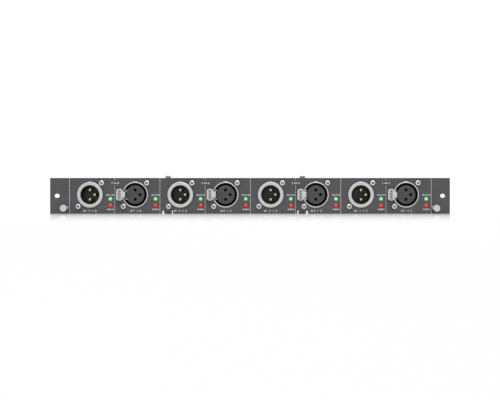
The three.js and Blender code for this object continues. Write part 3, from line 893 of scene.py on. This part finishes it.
# ---- Frame ----

RAIL_OUTER, RAIL_SHEET = 152.8, 1.2
BOARD_HOLES = [(sign * 147.5, depth) for sign in (-1, 1) for depth in (20, 90, 160)]


def mirrored(sign, near, far):
    """Two distances from the middle as limits on one side of it, lowest first."""
    return (near, far) if sign > 0 else (-far, -near)


def make_rails():
    """Side rails of bent sheet with clinched nuts under the board's screws."""
    web = rounded([(2.3, 0.0, 0.8), (168, 0.0, 0.8), (168, 20, 1.5), (40, 20, 6), (26, 28.2, 6),
                   (2.3, 28.2, 0.8)])
    slots = [rectangle(y, y + 16, 9.2, 12.2, 1.5) for y in (48, 78, 108, 138)]
    inner = RAIL_OUTER - RAIL_SHEET
    bend = [(inner + 0.1, 2.1), (inner + 0.1, 3.4), (inner - 0.25, 2.5), (inner - 1.2, 2.1)]
    nut = rounded([(1.3, 0.15), (2.7, 0.15, 0.2), (2.7, 1.02), (1.3, 1.02)])
    for side, sign in (("left", -1), ("right", 1)):
        parts = [slab([web], *mirrored(sign, inner, RAIL_OUTER), 0.2, SIDE, 3)]
        raised = mirrored(sign, RAIL_OUTER - 0.1, RAIL_OUTER + 0.25)
        parts += [slab([slot], *raised, 0.12, SIDE) for slot in slots]
        shelf = rectangle(*mirrored(sign, RAIL_OUTER - 8, RAIL_OUTER - 0.3), 5.3, 167.8, 0.6)
        parts.append(slab([shelf], 1, 2.2, 0.2, FLAT))
        parts.append(slab([[(sign * x, z) for x, z in bend]], 6, 167, 0.02))
        piece(f"rail_{side}_bent", parts, "zinc", replaces=[f"side_rail_{side}"])
        nuts = [upright(lathe(nut, 6), x, y, 0) for x, y in BOARD_HOLES if x * sign > 0]
        piece(f"rail_{side}_nuts", nuts, "screw")


def make_top_rail():
    """The strip along the top edge: countersunk screws, slots over the ports, and two bent-up tabs."""
    screws = [(x, 7.2) for x in (-146, -74, -0.01, 146, 74)]
    holes = [circle(centre, 2.6, 32) for centre in screws]
    slots = [rectangle(x - 5, x + 5, 8.2, 10, 0.9) for x, _ in PORTS.values()]
    parts = [slab([rectangle(-151, 151, 2.3, 12, 0.8), *holes, *slots], 28.53, 29.6, 0.18, FLAT, 3)]
    for x in (-69.2, 44.3):
        tab = rounded([(x - 2.25, 29.0), (x + 2.25, 29.0), (x + 2.25, 31.95, 0.5), (x - 2.25, 31.95, 0.5)])
        parts.append(slab([tab], 2.3, 3.5, 0.15))
        bend = [(3.4, 29.5), (3.4, 30.4), (3.75, 29.75), (4.5, 29.5)]
        parts.append(slab([bend], x - 2.2, x + 2.2, 0.02, SIDE))
    piece("top_rail_bent", parts, "dull", replaces=["top_rail"])
    head = [(0, -0.35), (0.7, -0.35), (0.8, 0.2), (2.3, 0.24), (2.5, 0.1), (1.3, -0.95), (0, -0.95)]
    heads = [upright(lathe(head, 32, {1: (4, 0.3), 2: (4, 0.25)}), x, y, 29.3) for x, y in screws]
    piece("top_rail_screws", heads, "screw")


def make_rear_plate():
    """The upright rear plate: a window for the connector, beads, bent end tabs and rivets."""
    half, window, low, high = 151.3, 47.5, 4.4, 20
    outline = rounded([(-half, low, 0.8), (-window, low, 0.4), (-window, 15.9, 1), (window, 15.9, 1),
                       (window, low, 0.4), (half, low, 0.8), (half, high, 1.2), (-half, high, 1.2)])
    beads = [slab([rectangle(x, x + 36, 10.4, 14, 1.8)], 169.4, 169.8, 0.18) for x in (-141, -97, 61, 105)]
    parts = [slab([outline], 168.3, 169.5, 0.18, steps=3), *beads]
    for sign in (-1, 1):
        tab = rounded([(156.3, 5.4, 1), (168.8, 5.4), (168.8, 18), (156.3, 18, 1)])
        span = sorted((sign * half, sign * (half - 1.2)))
        parts.append(slab([tab, circle((160.5, 11.7), 1.7, 24)], *span, 0.15, SIDE))
    piece("rear_plate_bent", parts, "zinc", replaces=["rear_plate"])
    rivet = [(0, 170.55), (0.55, 170.6), (1.1, 170.5), (1.8, 170.1), (2.0, 169.5), (0, 169.5)]
    rivets = [lathe(rivet, 28, centre=(x, 17.9)) for x in (-120, -52, 52, 120)]
    piece("rear_plate_rivets", rivets, "screw")


# ---- Board ----

def make_board():
    """The bare board with the lands and screws at its corners and sides."""
    outline = rectangle(-BOARD_HALF, BOARD_HALF, BOARD_FRONT, BOARD_BACK, 0.8)
    holes = [circle(centre, 1.6, 28) for centre in BOARD_HOLES]
    piece("circuit_board", [slab([outline, *holes], BOTTOM, TOP, 0.08, FLAT)], "board",
          replaces=["main_board"])
    rings = [slab([circle(c, 3.2, 32), circle(c, 1.65, 28)], z - 0.02, z + 0.02, 0, FLAT)
             for c in BOARD_HOLES for z in (TOP, BOTTOM)]
    piece("board_lands", rings, "tin")
    screw = [(0, -0.75), (0.8, -0.8), (0.95, -1.75), (1.7, -1.85), (2.35, -1.5), (2.7, -0.9), (2.75, -0.05),
             (1.45, -0.05), (1.45, 3.0), (0, 3.0)]
    screws = [moved(lathe(screw, 40, {1: (4, 0.35), 2: (4, 0.3)}), x, y, TOP, -90, "X")
              for x, y in BOARD_HOLES]
    piece("board_screws", screws, "screw")


def film(loops, rise, level=TOP):
    """A thin layer on the board: a track, a pad or a printed line."""
    return slab(loops, level - 0.01, level + rise, 0, FLAT)


def ribbon(path, width, level=TOP):
    """A track along a path."""
    left, right = inset_open(path, width / 2), inset_open(path, -width / 2)
    return film([left + right[::-1]], 0.035, level)


def tracks(rng):
    """Bundles of tracks that run back from the ports with a slanted jog."""
    parts = []
    for start in range(-24, 30, 6):
        lanes = rng.choice((2, 3, 4))
        jog = rng.choice((-3, -2, 0, 2, 3))
        front, bend, back = rng.uniform(26, 30), rng.uniform(50, 56), rng.uniform(74, 86)
        for lane in range(lanes):
            u = start + lane * 0.7
            corner, end = bend - lane * 0.3, back + lane * 0.8
            path = [(u, front), (u, corner), (u + jog, corner + abs(jog)), (u + jog, end)]
            parts += [ribbon(path, 0.28), via(u + jog, end)]
    return parts


def via(x, y):
    """A plated hole at a track's end."""
    return film([circle((x, y), 0.35, 10), circle((x, y), 0.35 * 0.45, 8)], 0.045)


def chip_body(x, y, width, length, height):
    """A moulded chip: two drafted halves with a parting line, and a dimple by its first lead."""
    low = TOP + 0.15
    middle, high = low + height * 0.5, low + height
    outline = centred(x, y, width, length, 0.15)
    dimple = (x - width / 2 + 0.9, y - length / 2 + 0.9)
    lower = slab([outline], low, middle, 0.12, FLAT)
    upper = slab([outline, circle(dimple, 0.35, 16)], middle - 0.03, high, 0.14, FLAT)
    floor = slab([circle(dimple, 0.4, 12)], low + height * 0.6, high - 0.1, 0, FLAT)
    return [lower, upper, floor]


def gull_leads(x, y, width, count, pitch, turn=0, rise=0.75, reach=1.1, thick=0.16, wide=0.42):
    """Gull-wing leads down both sides of a chip."""
    parts = []
    w = width / 2
    for sign in (-1, 1):
        path = [(w - 0.1, rise), (w + reach * 0.4, rise), (w + reach * 0.55, 0.12), (w + reach, 0.12)]
        path = [(sign * u, TOP + v) for u, v in rounded(path, 0.12, 2, False)]
        for k in range(count):
            v = (k - (count - 1) / 2) * pitch
            lead = strip(path, thick, v - wide / 2, v + wide / 2, 0, STAND)
            parts.append(moved(lead, x, y, turn=turn))
    return parts


def add_can(kinds, x, y, radius, height, clear):
    """Adds an aluminium capacitor: can, dark stripe, square foot, and an outline that leaves board clear."""
    z = TOP + 0.9
    groove, mark = height * 0.22, height * 0.45
    wall = lathe(rounded([(0, height), (radius * 0.82, height, 0.15), (radius, height - 0.45, 0.3),
                          (radius, groove + 0.6, 0.15), (radius - 0.3, groove + 0.3, 0.2),
                          (radius, groove, 0.15), (radius, 0), (0, 0)], closed=False), 48)
    stripe = lathe([(radius + 0.02, mark), (radius + 0.02, height - 0.55), (radius - 0.2, height - 0.5),
                    (radius - 0.2, mark)], 48, sweep=70)
    r = radius + 0.25
    corners = [(x - r, y - r), (x + r, y - r, r * 0.3), (x + r, y + r, r * 0.3), (x - r, y + r)]
    kinds["can"].append(upright(wall, x, y, z))
    kinds["dark_ink"].append(upright(stripe, x, y, z))
    kinds["black"].append(slab([rounded(corners, 0.15)], TOP + 0.12, TOP + 1.0, 0.12, FLAT))
    kinds["ink"].append(outline_of(x, y, 2 * radius + clear, 2 * radius + clear))


def chip_part(x, y, length, width, height, turn):
    """A two-ended surface-mount part: (its body, its plated ends with their pads)."""
    end = length * 0.2
    body = block((end * 0.8 - length / 2, length / 2 - end * 0.8), (-width / 2, width / 2),
                 (TOP + 0.03, TOP + height - 0.02), 0.04)
    ends, pads = [], []
    for sign in (-1, 1):
        middle = sign * (length - end) / 2
        ends.append(block((middle - end / 2, middle + end / 2), (-width / 2 - 0.02, width / 2 + 0.02),
                          (TOP + 0.02, TOP + height), 0.06))
        pads.append(film([centred(sign * length / 2, 0, 0.9, width + 0.2, 0.1)], 0.05))
    return [[moved(part, x, y, 0, turn) for part in group] for group in ([body], ends + pads)]


def outline_of(x, y, width, length, line=0.18):
    """A printed outline round a part."""
    inner = centred(x, y, width - 2 * line, length - 2 * line, 0.1)
    return film([centred(x, y, width, length, 0.2), inner], 0.04)


def add_chips(kinds):
    """Adds a channel's chips: (x, y, width, length, leads on a side). The last has leads all round."""
    for x, y, width, length, count in (
            (-20, 44, 3.9, 4.9, 4), (20, 44, 3.9, 4.9, 4), (-11, 68, 7.5, 10.3, 8), (13, 68, 7.5, 10.3, 8),
            (-20, 82, 3.9, 8.7, 7), (20, 82, 3.9, 4.9, 4), (2, 101, 7, 7, 10)):
        narrow, fine = width < 5, count == 10
        pitch, wide = (0.65, 0.28) if fine else (1.27, 0.42)
        kinds["black"] += chip_body(x, y, width, length, 1.4 if narrow else 2.1)
        for turn in (0, 90) if fine else (0,):
            kinds["tin"] += gull_leads(x, y, width, count, pitch, turn, wide=wide)
        kinds["ink"].append(outline_of(x, y, width - 0.9 if narrow else width + 3.4, length + 1.6))


def add_small_parts(kinds, rng):
    """Adds rows of resistors and ceramic capacitors: (y, first x, last x, step)."""
    for y, start, stop, step in (
            (28.5, -24, 26, 3.4), (31.5, -24, 26, 3.4), (50.5, -24, 28, 2.6), (61.5, -25, 28, 2.9),
            (75.5, -24, 8, 3.2), (91, -14, 20, 2.8), (111, -14, 18, 2.4), (114, -14, 18, 2.4)):
        for k in range(int((stop - start) / step)):
            x = start + k * step
            if y < 33 and abs(x) < 3 or rng.random() < 0.12:
                continue
            kind = rng.choice(("black", "black", "tan"))
            height = 0.5 if kind == "black" else 0.95
            body, ends = chip_part(x, y, 2.0, 1.25, height, rng.choice((0, 90)) if step > 2.8 else 90)
            kinds[kind] += body
            kinds["tin"] += ends


def channel_parts(rng):
    """The parts behind one output and input pair, by material, about the pair's middle."""
    kinds = {key: [] for key in ("black", "tin", "can", "dark_ink", "tan", "ink", "copper", "white")}
    kinds["copper"] += tracks(rng)
    add_chips(kinds)
    for x, y, radius, height in (
            (-21, 56, 3.15, 5.4), (-5, 56, 3.15, 5.4), (5.5, 56, 3.15, 5.4), (22, 56, 3.15, 5.4),
            (0.5, 80, 4, 6.6), (10.5, 82, 2.5, 5.2), (-9, 82, 2.5, 5.2)):
        add_can(kinds, x, y, radius, height, 1.3)
        kinds["tin"] += [film([centred(x, y + s * radius + 0.15, 0.8, 1.5)], 0.1) for s in (-1, 1)]
    add_small_parts(kinds, rng)
    for y in (101, 96.5):
        x = -8
        kinds["white"].append(slab([centred(x, y, 5, 3.2, 0.4)], TOP + 0.1, TOP + 1.3, 0.2, FLAT))
        for end in (x - 1.9, x + 1.9):
            kinds["tin"].append(block((end - 0.7, end + 0.7), (y - 1.7, y + 1.7), (TOP, TOP + 0.3), 0.05))
    for x in (-14.5, 14.5):
        kinds["copper"] += [via(x + dx, 120 + dy) for dx in (-1.6, 0, 1.6) for dy in (0, 1.6, 3.2)]
    return kinds


# Each kind of small part: its title in the pieces' names, its material and its slot.
KINDS = {
    "black": ("chips", "black", "black_plastic"),
    "tin": ("leads", "tin", "component_metal"),
    "can": ("capacitors", "can", "component_metal"),
    "dark_ink": ("capacitor_marks", "dark_ink", "black_plastic"),
    "tan": ("ceramics", "tan", "connector_grey"),
    "ink": ("outlines", "silk", "legend_ink"),
    "copper": ("tracks", "copper", "circuit_board"),
    "white": ("crystals", "can", "component_metal"),
    "ferrite": ("inductors", "ferrite", "black_plastic"),
}


def make_channels():
    """Four alike channel sections, one behind each pair of ports."""
    shapes = {kind: mesh_of(f"channel_{KINDS[kind][0]}", parts)
              for kind, parts in channel_parts(random.Random(7)).items()}
    transformer = mesh_of("transformer", transformer_body())
    legs = mesh_of("transformer_legs",
                   gull_leads(0, 42, 17, 6, 2, rise=1.2, reach=1.6, thick=0.25, wide=0.6))
    for (side, label), (x, _) in PORTS.items():
        if side == "input":
            continue
        middle = (x + PITCH / 2, 0, 0)
        for kind, shape in shapes.items():
            title, material, slot = KINDS[kind]
            piece(f"channel_{title}_{label}", shape, material, at=middle)
        piece(f"transformer_body_{label}", transformer, "black", at=middle,
              replaces=[f"transformer_{label}"])
        piece(f"transformer_legs_{label}", legs, "tin", at=middle)


def transformer_body():
    """A moulded pulse transformer: chamfered upper edges, a parting line and a raised ring as its mark."""
    low, high = TOP + 0.3, TOP + 8.3
    section = [(-8.5, low), (8.5, low), (8.5, high - 0.8), (7.7, high), (-7.7, high), (-8.5, high - 0.8)]
    body = slab([rounded(section, 0.3)], 35.5, 48.5, 0.6, steps=3)
    band = slab([rectangle(-8.5, 8.5, 35.5, 48.5, 0.4)], TOP + 3.9, TOP + 4.1, 0.02, FLAT)
    corner = (-6.6, 37.6)
    mark = slab([circle(corner, 0.6, 24), circle(corner, 0.38, 20)], high - 0.02, high + 0.03, 0, FLAT)
    return [body, band, mark]


def make_processor():
    """The signal processor, with fine leads on all four sides and a printed outline."""
    y, half = 105, 14
    low, shoulder, high = TOP + 0.3, TOP + 2.2, TOP + 2.5
    section = [(-half, low), (half, low), (half, shoulder), (half - 0.3, high), (0.3 - half, high),
               (-half, shoulder)]
    body = slab([rounded(section, 0.1)], y - half, y + half, 0.3, steps=3)
    corner = (-11.4, y - 11.4)
    spot = film([circle(corner, 0.9, 28), circle(corner, 0.75, 28)], 0.03, high)
    lid = slab([centred(0, y, 16, 16, 0.6)], TOP + 2.4, TOP + 2.54, 0.06, FLAT)
    piece("processor_body", [body, spot, lid], "black", replaces=["processor"])
    leads = []
    for turn in (0, 90):
        leads += gull_leads(0, y, 28, 44, 0.5, turn, rise=1.3, reach=1.5, thick=0.14, wide=0.24)
    piece("processor_leads", leads, "tin")
    piece("processor_outline", [outline_of(0, y, 32.4, 32.4, 0.2)], "silk")


def inductor(x, y, side, height):
    """A shielded inductor: a square ferrite cup with a round drum in it."""
    cup = slab([centred(x, y, side, side, side * 0.18), circle((x, y), side * 0.4, 40)],
               TOP + 0.2, TOP + height, 0.25, FLAT)
    radius = side * 0.35
    drum = rounded([(0, height - 0.1), (radius, height - 0.1, 0.2), (radius, 0.3), (0, 0.3)], closed=False)
    base = slab([centred(x, y, side * 0.9, side * 0.9, 0.5)], TOP + 0.1, TOP + 0.6, 0.1, FLAT)
    return [cup, upright(lathe(drum, 40), x, y, TOP), base]


def make_power():
    """Supply parts along the back of the board, either side of the rear connector."""
    kinds = {key: [] for key in ("black", "tin", "can", "dark_ink", "tan", "ink", "ferrite")}
    cans = ((62, 152, 5, 9.4), (75, 152, 5, 9.4), (88, 152, 5, 9.4), (128, 128, 4, 6.6))
    for sign in (-1, 1):
        for x, y, radius, height in cans:
            add_can(kinds, sign * x, y, radius, height, 1.4)
        for x, y in ((104, 151), (118, 151), (104, 136)):
            kinds["ferrite"] += inductor(sign * x, y, 10, 4.8)
            kinds["ink"].append(outline_of(sign * x, y, 12, 12))
        for x, y in ((131, 150), (118, 136), (64, 135)):
            x *= sign
            kinds["black"] += chip_body(x, y, 6.2, 6.5, 2.2)
            kinds["tin"] += gull_leads(x, y, 6.2, 4, 1.27)
            kinds["tin"].append(block((x - 2.6, x + 2.6), (y + 3.2, y + 5), (TOP, TOP + 0.5), 0.1))
        for k in range(16):
            body, ends = chip_part(sign * (56 + k * 5.2), 143.2, 3.2, 1.6, 0.6, 90)
            kinds["tan" if k % 3 == 0 else "black"] += body
            kinds["tin"] += ends
    for kind, parts in kinds.items():
        title, material, slot = KINDS[kind]
        piece(f"supply_{title}", parts, material)


CONNECTOR_COLUMNS = [(k - 15.5) * 2.54 for k in range(32)]
# Each of the connector's three rows: the height of its pins, and the depth where its legs go down.
CONNECTOR_ROWS = [(7.4, 154.4), (9.9, 152.4), (12.4, 150.4)]


def make_rear_connector():
    """The shrouded rear connector, its contact pins and the bent rows that go into the board."""
    low, high, half = 4.4, 15.4, 47
    shell = slab([rectangle(-half, half, low, high, 0.5)], 156, 168.5, 0.35, steps=3)
    rim = slab([rectangle(-half, half, low, high, 0.5), rectangle(-43, 43, low + 2, high - 2, 0.4)],
               168.3, 176, 0.35, steps=3)
    keys = [slab([rectangle(x - 1.2, x + 1.2, high - 2.5, high - 1.2, 0.2)], 169, 175.6, 0.15)
            for x in (-30, 12, 34)]
    ears = [slab([rectangle(x - 2.5, x + 2.5, low, low + 5, 0.8)], 151.5, 156.4, 0.3) for x in (-44.4, 44.4)]
    piece("rear_connector_shell", [shell, rim, *keys, *ears], "beige",
          replaces=["rear_connector"])
    pins = [slab([centred(x, z, 0.6, 0.6, 0.08)], 168.2, 174.6, 0.12, steps=1)
            for x in CONNECTOR_COLUMNS for z, _ in CONNECTOR_ROWS]
    piece("rear_connector_pins", pins, "gold")
    legs = []
    for z, depth in CONNECTOR_ROWS:
        path = rounded([(156.2, z), (depth, z), (depth, 1.6)], 0.7, 3, False)
        legs += [strip(path, 0.5, x - 0.25, x + 0.25, 0) for x in CONNECTOR_COLUMNS]
    piece("rear_connector_legs", legs, "tin")


def make_underside():
    """Solder joints under the board at the rear connector's legs, and tracks."""
    blob = rounded([(0, -0.75), (0.35, -0.7, 0.1), (0.85, 0), (0, 0)], 0.05, 2, False)
    joints = [upright(lathe(blob, 12), x, y, BOTTOM) for x in CONNECTOR_COLUMNS for _, y in CONNECTOR_ROWS]
    piece("rear_connector_joints", joints, "tin")
    rng = random.Random(11)
    parts = []
    for x in range(-140, 141, 8):
        front, back = rng.uniform(30, 60), rng.uniform(90, 140)
        middle = (front + back) / 2
        jog = rng.choice((-4, -2, 2, 4))
        for lane in range(rng.choice((1, 2, 3))):
            u = x + lane * 0.8
            path = [(u, front), (u, middle), (u + jog, middle + abs(jog)), (u + jog, back)]
            parts.append(ribbon(path, 0.35, BOTTOM - 0.03))
    piece("underside_tracks", parts, "copper")


# ---- Stage ----

def floor_material():
    """Near white: its matt share glows, darkened by ambient occlusion near the card as painted contact shade.
    Close to the panel it turns glossy, so that the panel is mirrored in it.
    """
    n = Nodes("floor")
    soft = n.noise(3, 2)
    n.set(Base_Color=n.ramp(soft, 0.96, 0.98), Roughness=n.ramp(soft, 0.02, 0.03))
    along = n.add("SeparateXYZ", Vector=n.position()).outputs["Y"]
    near = n.add("MapRange", {"clamp": True}, Value=along, From_Min=panel_low.y - 0.41, From_Max=panel_low.y)
    fade = n.add("Math", {"operation": "POWER"}, i0=near, i1=1.5)
    share = n.add("Math", {"operation": "MULTIPLY"}, i0=fade, i1=0.8)
    # Ambient occlusion darkens the glowing matt share near the card: painted contact shade.
    open_sky = n.add("AmbientOcclusion", Distance=0.02, Color=n.ramp(soft, 0.99, 1.0)).outputs["Color"]
    matt = n.add("Emission", Color=open_sky, Strength=1.0)
    mix = n.add("MixShader", i0=share, i1=matt, i2=n.shader)
    n.tree.links.new(mix.outputs[0], n.tree.nodes["Material Output"].inputs["Surface"])
    return n.material


def make_floor():
    bm = bmesh.new()
    bmesh.ops.create_grid(bm, x_segments=8, y_segments=8, size=14)
    mesh = bpy.data.meshes.new("floor")
    bm.to_mesh(mesh)
    bm.free()
    mesh.materials.append(floor_material())
    floor = add_object("floor", mesh)


def make_lights():
    """An even white sky, a key light from above and a low fill that is not mirrored."""
    world = bpy.data.worlds.new("world")
    bpy.context.scene.world = world
    world.use_nodes = True
    sky = world.node_tree.nodes["Background"].inputs
    sky["Color"].default_value = (1, 1, 1, 1)
    sky["Strength"].default_value = 1.06
    area_light("key", (0.12, -0.95, 1.1), (1.0, 1.1), 11)
    fill = area_light("fill", (-0.42, -2.65, 0.12), (0.3, 0.3), 18)
    fill.visible_glossy = False


def area_light(name, place, size, power):
    data = bpy.data.lights.new(name, "AREA")
    data.shape, data.size, data.size_y, data.energy = "RECTANGLE", *size, power
    light = add_object(name, data)
    light.location = place
    aim = Vector((0, 0, 0.015)) - Vector(place)
    light.rotation_euler = aim.to_track_quat("-Z", "Y").to_euler()
    return light


bpy.context.scene.view_settings.view_transform = "Standard"
make_camera()
front_panel()
printing()
make_ports()
make_fasteners()
make_rails()
make_top_rail()
make_rear_plate()
make_board()
make_channels()
make_processor()
make_power()
make_rear_connector()
make_underside()
make_floor()
make_lights()
